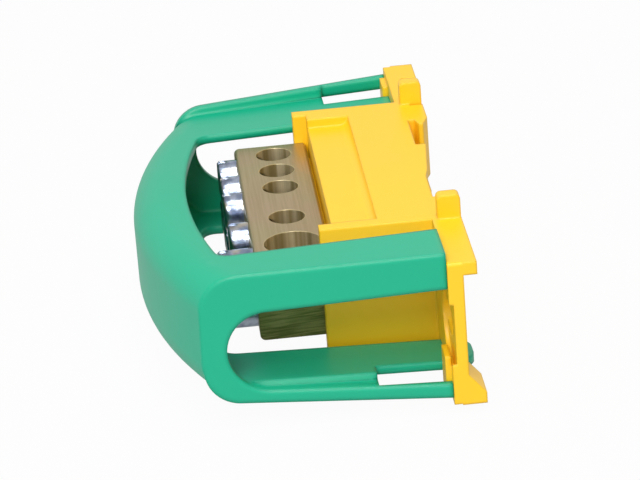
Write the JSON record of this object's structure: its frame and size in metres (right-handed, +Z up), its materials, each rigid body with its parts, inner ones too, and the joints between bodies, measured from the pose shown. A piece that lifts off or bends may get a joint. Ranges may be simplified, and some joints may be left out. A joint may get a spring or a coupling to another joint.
{
  "type": "power terminal block",
  "caption": "Earth distribution block: a brass bar with paired clamp screws on a moulded rail base, under a pull-off moulded cage cover.",
  "frame": {"origin": "middle of the rail seat's plane, midway between the plate's two fixing slots", "axes": "+X along the bar to the end with the large wire hole, +Y back to the rail, +Z up, the way wires enter from above"},
  "size_m": [0.09, 0.0511, 0.029],
  "materials": {
    "yellow_moulding": "satin moulded, yellow",
    "green_moulding": "satin moulded, green",
    "bar_brass": "drawn, sawn at the ends",
    "screw_steel": "bright zinc plated"
  },
  "bodies": {
    "mounting": {"base": "yellow_moulding", "terminal_bar": "bar_brass", "bar_fixing_screw": "screw_steel"},
    "cage_cover": {"cover": "green_moulding"},
    "upper_screw_1": {"clamp_screw_upper_1": "screw_steel"},
    "upper_screw_2": {"clamp_screw_upper_2": "screw_steel"},
    "upper_screw_3": {"clamp_screw_upper_3": "screw_steel"},
    "upper_screw_4": {"clamp_screw_upper_4": "screw_steel"},
    "upper_screw_5": {"clamp_screw_upper_5": "screw_steel"},
    "lower_screw_1": {"clamp_screw_lower_1": "screw_steel"},
    "lower_screw_2": {"clamp_screw_lower_2": "screw_steel"},
    "lower_screw_3": {"clamp_screw_lower_3": "screw_steel"},
    "lower_screw_4": {"clamp_screw_lower_4": "screw_steel"},
    "lower_screw_5": {"clamp_screw_lower_5": "screw_steel"}
  },
  "joints": [
    {"name": "cover_pull_off", "type": "slide", "parent": "mounting", "child": "cage_cover", "axis": [0, -1, 0], "range_m": [0, 0.05]},
    {"name": "upper_screw_1_travel", "type": "slide", "parent": "mounting", "child": "upper_screw_1", "axis": [0, 1, 0], "range_m": [0, 0.00315]},
    {"name": "upper_screw_2_travel", "type": "slide", "parent": "mounting", "child": "upper_screw_2", "axis": [0, 1, 0], "range_m": [0, 0.00315]},
    {"name": "upper_screw_3_travel", "type": "slide", "parent": "mounting", "child": "upper_screw_3", "axis": [0, 1, 0], "range_m": [0, 0.00315]},
    {"name": "upper_screw_4_travel", "type": "slide", "parent": "mounting", "child": "upper_screw_4", "axis": [0, 1, 0], "range_m": [0, 0.00315]},
    {"name": "upper_screw_5_travel", "type": "slide", "parent": "mounting", "child": "upper_screw_5", "axis": [0, 1, 0], "range_m": [0, 0.00545]},
    {"name": "lower_screw_1_travel", "type": "slide", "parent": "mounting", "child": "lower_screw_1", "axis": [0, 1, 0], "range_m": [0, 0.00315]},
    {"name": "lower_screw_2_travel", "type": "slide", "parent": "mounting", "child": "lower_screw_2", "axis": [0, 1, 0], "range_m": [0, 0.00315]},
    {"name": "lower_screw_3_travel", "type": "slide", "parent": "mounting", "child": "lower_screw_3", "axis": [0, 1, 0], "range_m": [0, 0.00315]},
    {"name": "lower_screw_4_travel", "type": "slide", "parent": "mounting", "child": "lower_screw_4", "axis": [0, 1, 0], "range_m": [0, 0.00315]},
    {"name": "lower_screw_5_travel", "type": "slide", "parent": "mounting", "child": "lower_screw_5", "axis": [0, 1, 0], "range_m": [0, 0.00545]}
  ]
}
